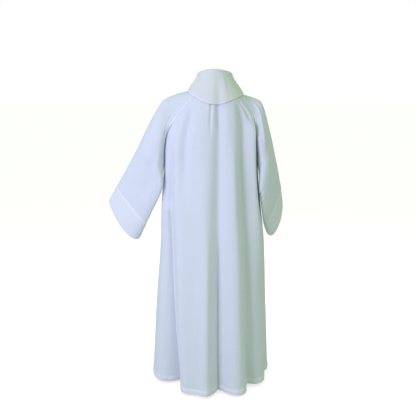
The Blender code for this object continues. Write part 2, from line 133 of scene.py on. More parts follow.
Ring = namedtuple("Ring", "name height centre left right back front tilt "
                          "backLeft backRight frontLeft frontRight")
rings = [
    Ring("neckline", 0.000, -0.015, 0.098, 0.098, 0.078, 0.088, 0.30, 42, 50, 46, 46),
    Ring("nape", -0.030, -0.015, 0.130, 0.134, 0.100, 0.108, 0.22, 45, 60, 50, 50),
    Ring("yoke", -0.090, -0.013, 0.174, 0.182, 0.120, 0.126, 0.12, 56, 66, 58, 58),
    Ring("blades", -0.150, -0.010, 0.209, 0.208, 0.132, 0.138, 0.05, 66, 68, 66, 66),
    Ring("chest", -0.240, -0.006, 0.234, 0.216, 0.140, 0.147, 0.00, 80, 74, 78, 78),
    Ring("underarm", -0.370, -0.004, 0.238, 0.220, 0.150, 0.152, 0.00, 90, 90, 90, 90),
    Ring("waist", -0.560, 0.000, 0.250, 0.241, 0.172, 0.165, 0.00, 90, 90, 90, 90),
    Ring("hip", -0.745, 0.000, 0.257, 0.262, 0.200, 0.187, 0.00, 90, 90, 90, 90),
    Ring("knee", -1.062, 0.000, 0.282, 0.277, 0.245, 0.222, 0.00, 90, 90, 90, 90),
    Ring("hem", -1.437, 0.000, 0.305, 0.295, 0.290, 0.262, 0.00, 90, 90, 90, 90),
]

# Long folds: where each runs, its depth (minus is a trough) and half width in degrees at its
# upper and lower ends, the heights between which it comes in, how late it grows, and the
# heights between which it fades. Most run on past the hem.
Fold = namedtuple("Fold", "name angleUp angleDown depthUp depthDown halfUp halfDown "
                          "starts full growth fades gone", defaults=(-9.0, -9.0))
folds = [
    Fold("centre back", -7, -8, -0.014, -0.048, 7, 6.5, -0.03, -0.12, 1.2),
    Fold("centre back ridge", 8, 8, 0.004, 0.016, 8, 7, -0.2, -0.6, 1),
    Fold("right back", -39, -43, -0.023, -0.042, 6.5, 7, -0.05, -0.14, 1.3),
    Fold("right back ridge", -26, -25, 0.012, 0.03, 7, 9, -0.12, -0.45, 1),
    Fold("right blade", -52, -60, -0.006, -0.003, 5, 5, -0.02, -0.07, 1, -0.12, -0.22),
    Fold("right edge ridge", -56, -64, 0.026, 0.006, 6.5, 8, -0.12, -0.2, 1, -0.6, -1),
    Fold("left blade", 36, 30, -0.015, -0.004, 8, 8, -0.06, -0.14, 1, -0.32, -0.6),
    Fold("left side back", 64, 43, -0.01, -0.098, 9, 11, -0.2, -0.32, 2.1),
    Fold("left back ridge", 50, 28, 0.006, 0.02, 9, 10, -0.15, -0.3, 1.6),
    Fold("right side back", -80, -78, -0.004, -0.03, 8, 9, -0.6, -0.9, 1.6),
    Fold("left side front", 116, 132, -0.008, -0.06, 9, 10, -0.42, -0.6, 1.6),
    Fold("right side front", -118, -134, -0.008, -0.055, 9, 10, -0.42, -0.6, 1.6),
    Fold("left front", 148, 153, -0.008, -0.038, 8, 7, -0.1, -0.24, 1.3),
    Fold("right front", -150, -156, -0.007, -0.034, 8, 7, -0.12, -0.28, 1.3),
    Fold("centre front", 179, 177, -0.005, -0.03, 8, 7, -0.14, -0.34, 1.4),
]


def foldDepth(angle, height):
    total = np.zeros(np.broadcast(angle, height).shape)
    for fold in folds:
        down = np.clip((fold.starts - height) / (fold.starts - hemHeight), 0, None)
        strength = ease((fold.starts - height) / (fold.starts - fold.full))
        strength = strength * (1 - ease((fold.fades - height) / max(fold.fades - fold.gone, 1e-6)))
        centre = fold.angleUp + (fold.angleDown - fold.angleUp) * down**0.8    # bends more at the top
        half = fold.halfUp + (fold.halfDown - fold.halfUp) * down
        depth = fold.depthUp + (fold.depthDown - fold.depthUp) * down**fold.growth
        away = (angle - centre + 180) % 360 - 180
        total = total + strength * depth * hump(away, half)
    return total


# Creases, not in the solids. A path is a few (across, down) places: on the body these are
# an angle and a height, on a sleeve (around, along). Depth and half widths are in metres, before
# and after the path as across grows, and the fades say how much of the length comes in and out.
Crease = namedtuple("Crease", "name path depth before after fadeIn fadeOut")
bodyCreases = [
    Crease("pleat, left line", [(6, -0.06), (5.5, -0.12), (4.5, -0.18), (3.5, -0.24)],
           -0.0062, 0.006, 0.006, 0.05, 0.6),
    Crease("pleat, right line", [(-3, -0.06), (-4.5, -0.125), (-6.5, -0.18), (-7.5, -0.24)],
           -0.0068, 0.009, 0.008, 0.05, 0.6),
    Crease("armpit pocket", [(64, -0.26), (61, -0.34), (60, -0.43), (62, -0.52), (72, -0.61)],
           -0.016, 0.006, 0.026, 0.4, 0.3),
    Crease("centre edge", [(-8, -0.62), (-7.5, -0.8), (-7, -1.1), (-7.5, -1.437)],
           -0.0115, 0.004, 0.014, 0.3, 0),
    Crease("centre crest", [(4, -0.56), (4.5, -0.76), (4.5, -1.1), (4, -1.437)],
           0.0085, 0.013, 0.017, 0.4, 0),
    Crease("right fold line", [(-41, -0.7), (-38, -0.9), (-37, -1.1), (-41, -1.26), (-45, -1.437)],
           -0.008, 0.014, 0.006, 0.3, 0),
    Crease("small fold", [(-43, -0.055), (-49, -0.106), (-55, -0.14), (-58, -0.18)],
           -0.0045, 0.004, 0.006, 0.1, 0.5),
    Crease("small ridge", [(-48, -0.055), (-56, -0.106), (-62, -0.15)], 0.0045, 0.006, 0.006, 0.1, 0.5),
    Crease("neckband", [(-62, -0.046), (-52, -0.05), (-28, -0.07), (-15, -0.08), (0, -0.088)],
           0.0024, 0.0032, 0.0032, 0.02, 0.05),
    Crease("left fold line", [(64, -0.44), (59, -0.67), (56, -0.87), (52.5, -1.07), (48, -1.437)],
           -0.02, 0.005, 0.009, 0.2, 0),
    Crease("left soft fold", [(38, -0.11), (35, -0.2), (36, -0.33), (34, -0.52)],
           -0.004, 0.014, 0.018, 0.2, 0.5),
    Crease("left inner fold", [(22, -0.15), (20, -0.3), (19, -0.52)], -0.0022, 0.016, 0.016, 0.3, 0.5),
    Crease("low soft fold", [(11, -0.9), (12, -1.15), (12, -1.437)], -0.0035, 0.01, 0.014, 0.5, 0),
    Crease("low left wrinkle", [(34, -1), (39, -1.05), (42, -1.075)], -0.0016, 0.006, 0.006, 0.4, 0.4),
    Crease("low right dent", [(-27, -1.18), (-31, -1.215), (-33, -1.27)], -0.0022, 0.008, 0.008, 0.4, 0.4),
    Crease("hip dent", [(-26, -0.56), (-29, -0.61)], -0.0016, 0.007, 0.007, 0.5, 0.5),
    Crease("front pleat, left", [(186, -0.085), (188, -0.2), (190, -0.34)],
           -0.004, 0.006, 0.006, 0.05, 0.6),
    Crease("front pleat, right", [(173, -0.085), (171, -0.19), (170, -0.3)],
           -0.0045, 0.006, 0.007, 0.05, 0.6),
    Crease("front soft fold", [(150, -0.12), (152, -0.26), (156, -0.48)], -0.004, 0.014, 0.014, 0.2, 0.5),
    Crease("front right fold", [(212, -0.11), (210, -0.24), (208, -0.42)], -0.0036, 0.012, 0.014, 0.2, 0.5),
    Crease("front low fold", [(168, -0.88), (166, -1.15), (167, -1.437)], -0.0042, 0.01, 0.014, 0.5, 0),
    Crease("front edge line", [(204, -0.6), (205, -0.9), (206, -1.437)], -0.005, 0.008, 0.014, 0.4, 0),
    Crease("front left line", [(131, -0.56), (133, -0.9), (134, -1.437)], -0.0045, 0.014, 0.007, 0.4, 0),
    Crease("front hip dent", [(196, -0.62), (199, -0.68)], -0.0018, 0.008, 0.008, 0.5, 0.5),
]


def softPath(path):
    # a crease's path as a smooth line of short steps
    path = np.array(path, float)
    if len(path) == 2:
        return path
    ends = np.vstack((2 * path[0] - path[1], path, 2 * path[-1] - path[-2]))
    line = []
    for k in range(len(path) - 1):
        a, b, c, d = ends[k:k + 4]
        for t in np.arange(0, 1, 0.25):
            line.append(0.5 * (2 * b + (c - a) * t + (2 * a - 5 * b + 4 * c - d) * t**2
                               + (3 * b - a - 3 * c + d) * t**3))
    return np.array(line + [path[-1]])


def fadedIn(part, over):
    return ease(part / over) if over else 1.0


def creaseDepth(creases, across, down, scaleAcross, scaleDown):
    # how far the creases move the cloth out; the scales turn a path's units into metres
    total = np.zeros(np.broadcast(across, down).shape)
    for crease in creases:
        line = softPath(crease.path)
        lengths = np.linalg.norm(np.diff(line, axis=0) * (np.mean(scaleAcross), scaleDown), axis=1)
        reached = np.concatenate(([0], np.cumsum(lengths)))
        nearest = np.full(total.shape, 1e9)
        side = np.zeros(total.shape)
        part = np.zeros(total.shape)
        for k in range(len(line) - 1):
            (fromX, fromY), (toX, toY) = line[k], line[k + 1]
            px, py = (across - fromX) * scaleAcross, (down - fromY) * scaleDown
            sx, sy = (toX - fromX) * scaleAcross, (toY - fromY) * scaleDown
            t = np.clip((px * sx + py * sy) / (sx * sx + sy * sy), 0, 1)
            away = np.hypot(px - t * sx, py - t * sy)
            closer = away < nearest
            nearest = np.where(closer, away, nearest)
            side = np.where(closer, px - t * sx, side)
            part = np.where(closer, (reached[k] + t * lengths[k]) / reached[-1], part)
        half = np.where(side < 0, crease.before, crease.after)
        fade = fadedIn(part, crease.fadeIn) * fadedIn(1 - part, crease.fadeOut)
        total = total + crease.depth * fade * hump(nearest, half)
    return total


def ringRadius(height):
    # metres to one degree round the body
    wide = (smooth(rings, "left", height) + smooth(rings, "right", height)) / 2
    deep = (smooth(rings, "back", height) + smooth(rings, "front", height)) / 2
    return np.radians((wide + deep) / 2)


def body(angle, height, fine=True):
    # places on the panels; the fine creases are left out where only the slope is wanted
    angle, height = together(angle, height)
    sine, cosine = np.sin(np.radians(angle)), np.cos(np.radians(angle))
    wide = np.where(sine >= 0, smooth(rings, "left", height), smooth(rings, "right", height))
    deep = np.where(cosine >= 0, smooth(rings, "back", height), smooth(rings, "front", height))
    outward = unit(vectors(sine / wide, cosine / deep, 0))
    y = deep * cosine
    point = vectors(smooth(rings, "centre", height) + wide * sine, y,
                    height + smooth(rings, "tilt", height) * y)
    moved = foldDepth(angle, height)
    if fine:
        turned = np.where(angle < -90, angle + 360, angle)
        moved = moved + creaseDepth(bodyCreases, turned, height, ringRadius(height), 1.0)
    return point + outward * moved[..., None]


def seamAngle(side, face, height):
    # where the back or the front ends, at its raglan or side seam
    height = np.asarray(height, float)
    field = face + side.capitalize()
    angle = np.where(height <= underarmHeight, 90.0, np.minimum(smooth(rings, field, height), 90.0))
    angle = angle if face == "back" else 180 - angle
    return angle if side == "left" else -angle


# Form of the sleeves, close to their solids, with the back half tucked in at the body's side

# Shoulder line, against the ring that each row joins. The trough says how far the sleeve turns
# away from the body there.
Shoulder = namedtuple("Shoulder", "height x y z trough")
shoulders = {
    "left": [
        Shoulder(0.000, 0.083, 0.000, 0.000, 0.00),
        Shoulder(-0.030, 0.124, 0.000, -0.009, 0.00),
        Shoulder(-0.090, 0.186, 0.000, -0.027, 0.03),
        Shoulder(-0.150, 0.240, 0.000, -0.058, 0.14),
        Shoulder(-0.240, 0.298, -0.008, -0.150, 0.66),
        Shoulder(-0.370, 0.372, -0.024, -0.294, 1.00),
    ],
    "right": [
        Shoulder(0.000, -0.113, 0.000, -0.002, 0.00),
        Shoulder(-0.030, -0.148, 0.000, -0.022, 0.00),
        Shoulder(-0.090, -0.202, 0.000, -0.041, 0.04),
        Shoulder(-0.150, -0.240, 0.000, -0.066, 0.20),
        Shoulder(-0.240, -0.274, 0.000, -0.170, 0.70),
        Shoulder(-0.370, -0.308, -0.004, -0.310, 1.00),
    ],
}

# Sections of each sleeve below the underarm: points of its upper and under edges, how far the
# loop swells between them at the back and at the front, and how far its back half is tucked in
# behind the body's side.
Section = namedtuple("Section", "name along top under back front tuck")
sections = {
    "left": [
        Section("underarm", 0, (0.372, -0.024, -0.294), (0.234, 0, -0.37),
                (0.004, 0.074, 0.004), (0.004, -0.074, 0.004), 0.008),
        Section("upper arm", 0.25, (0.412, -0.034, -0.366), (0.254, 0.02, -0.47),
                (0, 0.066, 0), (0, -0.084, 0), 0.058),
        Section("elbow", 0.55, (0.463, -0.052, -0.452), (0.3, 0.008, -0.588),
                (0.006, 0.052, -0.006), (-0.006, -0.076, 0.006), 0.045),
        Section("cuff", 1, (0.522, -0.08, -0.556), (0.363, -0.02, -0.734),
                (0.02, 0.044, -0.022), (-0.02, -0.066, 0.022), 0),
    ],
    "right": [
        Section("underarm", 0, (-0.308, -0.004, -0.31), (-0.224, 0, -0.37),
                (-0.004, 0.084, -0.004), (-0.004, -0.092, -0.004), 0.012),
        Section("upper arm", 0.25, (-0.326, -0.018, -0.388), (-0.244, 0.012, -0.48),
                (-0.004, 0.084, -0.01), (-0.004, -0.08, 0.004), 0.054),
        Section("elbow", 0.55, (-0.346, -0.082, -0.466), (-0.258, -0.004, -0.592),
                (-0.01, 0.08, -0.036), (0.015, -0.064, 0.032), 0.05),
        Section("cuff", 1, (-0.367, -0.183, -0.562), (-0.27, -0.077, -0.688),
                (-0.025, 0.06, -0.071), (0.025, -0.06, 0.071), 0.01),
    ],
}
sleeveForm = {
    "keel": 0.80,    # how far a front half loop is drawn outwards beside the underarm seam
    "keelFades": 1.4,
    "rootFades": 3,
    "lean": {"left": 0.5, "right": 0.35},    # how far the back's swell leans towards the under edge
    "loopHandle": 4 / 3,
    "shoulderHandle": 0.42,
    "seamHandle": 0.38,
    "aroundScale": 0.21,    # metres to one half loop
    "creasesFade": 7,
}


def leanOf(side, face):
    return sleeveForm["lean"][side] if face == "back" else 0.0


def lowerSwell(side, face, swell, along):
    # the swell beside the underarm seam
    if face == "back":
        out = -smooth(sections[side], "tuck", along, "along")
    else:
        out = np.abs(swell[..., 1]) * sleeveForm["keel"] * (1 - ease(along * sleeveForm["keelFades"]))
    return swell * (1 + leanOf(side, face)) + vectors(out if side == "left" else -out, 0, 0)


def halfRaglanRow(side, face, height, around):
    # from the shoulder line, at 0, to the raglan seam, at 1
    height = np.asarray(height, float)
    towards = 1 if face == "back" else -1
    top = np.stack([smooth(shoulders[side], axis, height) for axis in "xyz"], axis=-1)
    trough = smooth(shoulders[side], "trough", height)[..., None]
    angle = seamAngle(side, face, height)
    seam = body(angle, height)
    turn = towards if side == "left" else -towards
    onward = unit(body(angle + turn, height, False) - body(angle, height, False))
    reach = np.linalg.norm(top - seam, axis=-1, keepdims=True)
    swell = np.array(getattr(sections[side][0], face))
    level = reach * (0, towards * sleeveForm["shoulderHandle"], 0)
    upper = swell * (1 - leanOf(side, face))
    topHandle = level * (1 - trough) + upper * sleeveForm["loopHandle"] * trough
    lower = lowerSwell(side, face, swell, 0.0)
    seamHandle = (onward * reach * sleeveForm["seamHandle"] * (1 - trough)
                  + lower * sleeveForm["loopHandle"] * trough)
    return bezier(top, top + topHandle, seam + seamHandle, seam, around)


def halfSleeveLoop(side, face, along, around):
    # the same, below the underarm, where the half loop ends at the sleeve's own seam
    along, around = together(along, around)
    top = smooth(sections[side], "top", along, "along")
    under = smooth(sections[side], "under", along, "along")
    root = body(90 if side == "left" else -90, underarmHeight)
    shift = (1 - ease(along * sleeveForm["rootFades"]))[..., None]
    under = under + (root - np.array(sections[side][0].under)) * shift
    swell = smooth(sections[side], face, along, "along")
    topHandle = swell * (1 - leanOf(side, face)) * sleeveForm["loopHandle"]
    underHandle = lowerSwell(side, face, swell, along) * sleeveForm["loopHandle"]
    return bezier(top, top + topHandle, under + underHandle, under, around)


# Cut pieces as grids of points

rowPlaces = {
    "evenEnds": 0.012,    # the even rows end this far inside the fold's inner edge
    "close": (8, 5, 3.5, 2, 0, -1.5, -3, -4.5, -7),    # mm inside it, minus is towards the free edge
    "stitched": 6,    # of these, the row under the stitches
    "restStarts": 0.010,
    "restPitch": 0.007,
    "restLeast": 6,
}
raglanCrowding = 1.1           # above 1, rows stand closer together towards the neck


def noiseAt(places):
    flat = places.reshape(-1, 3)
    return np.array([noise.noise(place) for place in flat]).reshape(places.shape[:-1])


def quiet(points, size, depth, seed):
    # small uneven hollows, as in cloth that has been worn
    return noiseAt(points / size + (seed, 0, 0)) * depth


def turnedEdge(fromEdge, depth):
    # what a turned hem adds outside, at a distance from the edge, with its row of stitches
    raised = cloth["turnRaise"] * ease((depth + cloth["turnStep"] - fromEdge) / cloth["turnStep"])
    fromRow = fromEdge - depth + cloth["rowInset"]
    return raised - cloth["stitchGroove"] * hump(fromRow, cloth["grooveWidth"])


def turnedLayersAndHighlight(fromEdge, depth):
    # how much lighter the hem is painted: two layers, and three where its raw edge is turned in under the
    # stitches, where the narrow lighter band is also a painted highlight on the raised row
    step, shade = cloth["layerStep"], cloth["hemShade"]
    twice = shade * ease((depth + step / 2 - fromEdge) / step)
    row = hump(fromEdge - depth + cloth["rowInset"] / 2, cloth["turnedInHighlight"])
    return twice + (1 - shade) * row


def puckers(along, fromEdge, depth, seed):
    # the stitched row draws the cloth up in short slanting ripples, uneven in length and spacing
    slant = along + pucker["slant"] * fromEdge
    short = noiseAt(vectors(slant / pucker["short"], seed, fromEdge / pucker["long"]))
    slow = noiseAt(vectors(slant / pucker["long"], seed + seeds["slow"], 0))
    near = hump(fromEdge - depth + cloth["rowInset"], pucker["reach"])
    return (pucker["shortDepth"] * short + pucker["longDepth"] * slow) * near


def raglanHeights(rows):
    return underarmHeight * np.linspace(0, 1, rows)**raglanCrowding


def edgeRows(length, depth, evenRows):
    # places from 0 to 1 with close rows where the hem is turned and stitched
    even = np.linspace(0, 1 - (depth + rowPlaces["evenEnds"]) / length, evenRows)
    close = 1 - (depth + np.array(rowPlaces["close"]) * 0.001) / length
    count = max(rowPlaces["restLeast"], round(depth / rowPlaces["restPitch"]))
    rest = 1 - np.linspace(depth - rowPlaces["restStarts"], 0, count) / length
    return np.concatenate((even, close, rest))


def stitchedRow(raglanRows, evenRows):
    return raglanRows + evenRows - 1 + rowPlaces["stitched"]


backShape = {"raglanRows": 66, "skirtRows": 84, "columns": 236}
frontShape = {**backShape, "columns": 160}


def bodyGrid(face, shape):
    raglan = raglanHeights(shape["raglanRows"])
    length = underarmHeight - hemHeight
    skirt = underarmHeight - length * edgeRows(length, cloth["hemDepth"], shape["skirtRows"])[1:]
    heights = np.concatenate((raglan, skirt))
    first, last = seamAngle("left", face, heights), seamAngle("right", face, heights)
    if face == "front":
        first, last = last, first - 360
    t = np.linspace(0, 1, shape["columns"] + 1)
    angle = first[:, None] + (last - first)[:, None] * t[None, :]
    height = np.repeat(heights[:, None], len(t), axis=1)
    points = body(angle, height)
    fromHem = height - hemHeight
    across = angle * ringRadius(hemHeight)
    depth = cloth["hemDepth"]
    rise = turnedEdge(fromHem, depth) + puckers(across, fromHem, depth, seeds["hem"])
    fromSeam = np.minimum(t, 1 - t)[None, :]
    hollows = quiet(points, worn["size"], worn["depth"], seeds["body"])
    rise = rise + hollows * ease(fromSeam * worn["bodyFade"])
    # the last grid says how much lighter the colour is painted: the hem's two layers, and a painted
    # highlight on its stitched row
    return points, rise, turnedLayersAndHighlight(fromHem, depth)


sleeveShape = {
    "raglanRows": 60,
    "tubeRows": 100,
    "halfColumns": 84,
    "trialColumns": 241,    # first laid to find how far it is round, then the real columns
    "evensOver": 0.12,    # length below the welt's end over which the columns even out
    "raglanSpan": 0.5,    # along runs from -0.5 at the neck to 0 at the underarm and 1 at the cuff
    "slantFrom": 0.4,
    # the turned cuff's top edge: its along at the top, and how much more towards the seam
    "cuffLine": {"left": (0.645, 0.105), "right": (0.56, 0.22)},
}
weltPlaces = np.array([0, 0.6, 1.4, 3.0, 5.0, 6.4, 7.4, 8.6, 10.2, 13.0]) * 0.001    # from the seam
sleeveCreases = {
    "left": [
        Crease("back hollow", [(-0.62, 0), (-0.4, 0.62)], -0.007, 0.03, 0.03, 0.3, 0.3),
        Crease("elbow dip", [(-0.68, -0.1), (-0.58, 0.02), (-0.44, 0.2)],
               -0.0055, 0.013, 0.016, 0.35, 0.45),
        Crease("front hollow", [(0.55, 0), (0.45, 0.7)], -0.007, 0.032, 0.032, 0.3, 0.3),
        Crease("armpit fold", [(-0.97, -0.19), (-0.86, -0.2), (-0.74, -0.21)],
               -0.005, 0.004, 0.004, 0.2, 0.3),
        Crease("soft band, high", [(-0.72, -0.36), (-0.78, -0.22)], -0.0022, 0.008, 0.01, 0.3, 0.3),
        Crease("soft band, low", [(-0.52, 0.2), (-0.5, 0.72)], -0.0026, 0.01, 0.012, 0.4, 0.3),
        Crease("soft band, top", [(-0.32, 0.1), (-0.36, 0.66)], -0.002, 0.01, 0.012, 0.4, 0.4),
        Crease("front dip", [(0.66, -0.1), (0.56, 0.06), (0.46, 0.22)], -0.005, 0.013, 0.016, 0.35, 0.45),
        Crease("front band", [(0.7, 0.25), (0.62, 0.72)], -0.0024, 0.01, 0.012, 0.4, 0.3),
    ],
    "right": [
        Crease("outer hollow", [(-0.26, -0.16), (-0.24, 0.36)], -0.005, 0.026, 0.026, 0.3, 0.3),
        Crease("elbow crease, high", [(-0.9, 0.27), (-0.76, 0.3), (-0.56, 0.31)],
               -0.006, 0.0032, 0.0045, 0.2, 0.4),
        Crease("elbow crease, middle", [(-0.86, 0.33), (-0.7, 0.345), (-0.58, 0.35)],
               -0.0045, 0.003, 0.004, 0.2, 0.4),
        Crease("elbow crease, low", [(-0.9, 0.38), (-0.76, 0.395), (-0.6, 0.375)],
               -0.0055, 0.0032, 0.0045, 0.1, 0.4),
        Crease("elbow fold", [(-0.8, 0.24), (-0.78, 0.4), (-0.84, 0.6)], -0.007, 0.006, 0.009, 0.3, 0.4),
        Crease("arm ridge", [(-0.5, -0.42), (-0.5, -0.26), (-0.52, -0.05)], 0.006, 0.01, 0.014, 0.3, 0.4),
        Crease("inner hollow", [(0.76, 0.05), (0.72, 0.6)], -0.004, 0.024, 0.024, 0.3, 0.3),
        Crease("front elbow", [(0.4, 0.34), (0.62, 0.3), (0.86, 0.33)], -0.004, 0.006, 0.008, 0.4, 0.2),
    ],
}


def columnsFromSeam(girths, closeTo, count):
    # metres from the seam to each column: even, or with the welt's own close columns
    rows = []
    for girth, share in zip(girths, closeTo):
        even = np.linspace(0, girth, count)
        rest = np.linspace(weltPlaces[-1], girth, count - len(weltPlaces) + 1)[1:]
        rows.append(even * share + np.concatenate((weltPlaces, rest)) * (1 - share))
    return np.array(rows)


def halfSleeve(side, face, raglan, tube, length):
    # one half of a sleeve, from the seam at column 0 to the shoulder line at the last
    trial = np.linspace(0, 1, sleeveShape["trialColumns"])
    isRaglan = np.arange(len(raglan) + len(tube)) < len(raglan)
    sign = -1 if face == "back" else 1

    def place(around):
        upper = halfRaglanRow(side, face, raglan[:, None], around[isRaglan])
        lower = halfSleeveLoop(side, face, slanted(side, tube[:, None], around[~isRaglan], length),
                               around[~isRaglan])
        return np.concatenate((upper, lower))

    way = wayAlong(place(np.repeat(trial[None, :], len(isRaglan), axis=0)), 1)
    belowWelt = cloth["weltFades"] - raglan
    evenly = np.concatenate((ease(belowWelt / sleeveShape["evensOver"]), np.ones(len(tube))))
    fromSeam = columnsFromSeam(way[:, -1], evenly, sleeveShape["halfColumns"])
    around = np.array([np.interp(row[-1] - away, row, trial) for row, away in zip(way, fromSeam)])
    around[:, 0], around[:, -1] = 1.0, 0.0
    along = np.concatenate((-sleeveShape["raglanSpan"] * (1 - raglan / underarmHeight), tube))[:, None]
    crease = creaseDepth(sleeveCreases[side], sign * around, along + 0 * around,
                         sleeveForm["aroundScale"], length)
    rise = crease * ease((1 - around) * sleeveForm["creasesFade"])
    fade = 1 - ease(belowWelt / cloth["weltFadesOver"])[:, None]
    rises, falls, metres = cloth["weltRises"], cloth["weltFalls"], fromSeam[isRaglan]
    welt = ease(metres / rises) * ease((cloth["weltWidth"] + falls - metres) / falls) * fade
    rise[isRaglan] += cloth["weltRaise"] * welt
    depth = cloth["cuffDepth"]
    fromCuff = np.repeat(((1 - tube) * length)[:, None], around.shape[1], axis=1)
    rise[~isRaglan] += (turnedEdge(fromCuff, depth)
                        + puckers(sign * fromSeam[~isRaglan], fromCuff, depth, seeds["cuff"]))
    # the last grid paints the colour lighter on the welt and the turned cuff: their extra layers, and a
    # painted highlight on the raised welt and stitched row
    return place(around), rise, np.concatenate((welt, turnedLayersAndHighlight(fromCuff, depth)))


def slanted(side, along, around, length):
    # the turned hem's top edge isn't square to the arm: the rows slant with it
    line, start = 1 - cloth["cuffDepth"] / length, sleeveShape["slantFrom"]
    top, more = sleeveShape["cuffLine"][side]
    target = top + more * around
    low = start + (along - start) * (target - start) / (line - start)
    high = 1 - (1 - along) * (1 - target) / (1 - line)
    return np.where(along <= start, along, np.where(along <= line, low, high))


def sleeveGrid(side):
    upper, lower = np.array(sections[side][0].top), np.array(sections[side][-1].top)
    length = np.linalg.norm(lower - upper)
    raglan = raglanHeights(sleeveShape["raglanRows"])
    tube = edgeRows(length, cloth["cuffDepth"], sleeveShape["tubeRows"])[1:]
    halves = [halfSleeve(side, face, raglan, tube, length) for face in ("back", "front")]
    points, rise, layersAndHighlight = (np.concatenate((back, front[:, -2::-1]), axis=1)
                             for back, front in zip(*halves))
    fromSeam = np.minimum(np.linspace(0, 1, points.shape[1]), np.linspace(1, 0, points.shape[1]))
    hollows = quiet(points, worn["size"], worn["depth"], seeds[side])
    rise = rise + hollows * ease(fromSeam * worn["sleeveFade"])
    if side == "left":
        points, rise, layersAndHighlight = points[:, ::-1], rise[:, ::-1], layersAndHighlight[:, ::-1]
    return points, rise, layersAndHighlight


# Where the collar folds over, and where its free edge lies, as the ring height under it
Fall = namedtuple("Fall", "name angle foldOut foldUp edge swell")
collarFalls = [
    Fall("front", -180, 0.096, 0.034, -0.088, 0.01),
    Fall("right front", -135, 0.09, 0.046, -0.052, 0.008),
    Fall("right", -90, 0.08, 0.064, -0.027, 0.003),
    Fall("right back", -45, 0.083, 0.078, -0.05, 0.004),
    Fall("back", 0, 0.09, 0.087, -0.083, 0.005),
    Fall("left back", 45, 0.082, 0.08, -0.046, 0.004),
    Fall("left", 90, 0.078, 0.066, -0.02, 0.003),
    Fall("left front", 135, 0.09, 0.046, -0.05, 0.008),
]
collarFalls.append(collarFalls[0]._replace(angle=180))
collarCreases = [      # across is the angle, down runs from the neck seam at 0 to the free edge at 1
    Crease("right soft fold", [(-20, 0.42), (-21, 0.62), (-19, 0.9)], -0.0022, 0.006, 0.01, 0.2, 0.5),
    Crease("right short fold", [(-38, 0.5), (-40, 0.68)], -0.0018, 0.005, 0.007, 0.3, 0.4),
    Crease("left soft fold", [(58, 0.5), (55, 0.8)], -0.0014, 0.008, 0.008, 0.4, 0.4),
    Crease("front fold", [(-160, 0.45), (-165, 0.9)], -0.0022, 0.008, 0.01, 0.3, 0.4),
    Crease("front left fold", [(150, 0.48), (158, 0.85)], -0.002, 0.008, 0.01, 0.3, 0.4),
]
collarShape = {
    "columns": 240,
    "standRows": 10,
    "foldRows": 9,
    "fallPlaces": (*np.linspace(0, 0.93, 28), 0.955, 0.975, 0.99, 1.0),    # closer at the free edge
    "foldRadius": 0.0045,
    "lies": 0.0040,    # the fall's middle above the cloth under its edge
    "centre": -0.012,
    "slopeSteps": (0.006, 2),  # height and degrees over which the slope under the edge is read
    "startOff": 0.0005,    # the stand's foot, towards the fold and up from the neckline
    "startUp": 0.0002,
    "standHandles": (0.35, 0.02),
    "fallHandles": (0.016, 0.4),
    "aroundScale": 0.0022,    # metres to one degree
    "deep": 0.20,    # from the neck seam to the free edge
    "rowFromEdge": 0.0054,
    "groove": 0.0005,
    "grooveWidth": 0.0018,
    "seamAllowance": 0.0075,
    "wornSize": 0.050,
    "wornDepth": 0.0008,
}


def neckPlace(angle, height):
    # on whichever piece lies at that angle
    angle, height = together(angle, height)
    place = body(angle, height, False)
    turn = np.abs(angle)
    for side in ("left", "right"):
        onSide = (angle >= 0) if side == "left" else (angle < 0)
        back = np.abs(seamAngle(side, "back", height))
        front = np.abs(seamAngle(side, "front", height))
        for face, chosen, around in (
                ("back", onSide & (turn > back) & (turn < 90), (90 - turn) / (90 - back)),
                ("front", onSide & (turn >= 90) & (turn < front), (turn - 90) / (front - 90))):
            if chosen.any():
                place[chosen] = halfRaglanRow(side, face, height[chosen], around[chosen])
    return place


def collarGrid(shape):
    # columns round the neck; down a column the stand, the fold over and the fall to the free edge
    angles = -180 + 360 * np.arange(shape["columns"]) / shape["columns"]
    foldOut, foldUp, edge, swell = (smooth(collarFalls, field, angles, "angle")
                                    for field in ("foldOut", "foldUp", "edge", "swell"))
    direction = vectors(np.sin(np.radians(angles)), np.cos(np.radians(angles)), 0)
    up = np.array((0, 0, 1.0))
    radius = shape["foldRadius"]
    neck = neckPlace(angles, necklineHeight)
    fold = direction * foldOut[:, None] + vectors(shape["centre"], 0, foldUp)
    down, turn = shape["slopeSteps"]
    slope = neckPlace(angles, edge + down) - neckPlace(angles, edge - down)
    onward = neckPlace(np.minimum(angles + turn, 180), edge)
    roundNeck = onward - neckPlace(np.maximum(angles - turn, -180), edge)
    off = unit(np.cross(slope, roundNeck))
    off = off * np.where(off[:, 2:] > 0, 1, -1)
    landing = neckPlace(angles, edge) + off * shape["lies"]
    start = neck + unit(fold - neck) * shape["startOff"] + up * shape["startUp"]
    inside, outside = fold - direction * radius, fold + direction * radius
    share, drop = shape["standHandles"]
    leaving, upright = start + (inside - start) * share, inside - up * drop
    drop, share = shape["fallHandles"]
    dropping = outside - up * drop
    onto = landing - (landing - outside) * share + direction * swell[:, None]
    stand = [bezier(start, leaving, upright, inside, t) for t in np.linspace(0, 1, shape["standRows"])]
    over = [fold + (up * math.sin(turn) - direction * math.cos(turn)) * radius
            for turn in np.linspace(0, math.pi, shape["foldRows"])[1:-1]]
    falling = [bezier(outside, dropping, onto, landing, t) for t in shape["fallPlaces"]]
    points = np.array(stand + over + falling)
    way = wayAlong(points)
    across = np.repeat(angles[None, :], len(points), axis=0)
    rise = creaseDepth(collarCreases, across, way / way[-1], shape["aroundScale"], shape["deep"])
    fromEdge = way[-1] - way
    rise = rise - shape["groove"] * hump(fromEdge - shape["rowFromEdge"], shape["grooveWidth"])
    rise = rise + quiet(points, shape["wornSize"], shape["wornDepth"], seeds["collar"])
    return points, rise, ease((shape["seamAllowance"] - fromEdge) / cloth["layerStep"])


# Shells of cloth on the grids

def addObject(name, data):
    made = bpy.data.objects.new(name, data)
    bpy.context.scene.collection.objects.link(made)
    return made


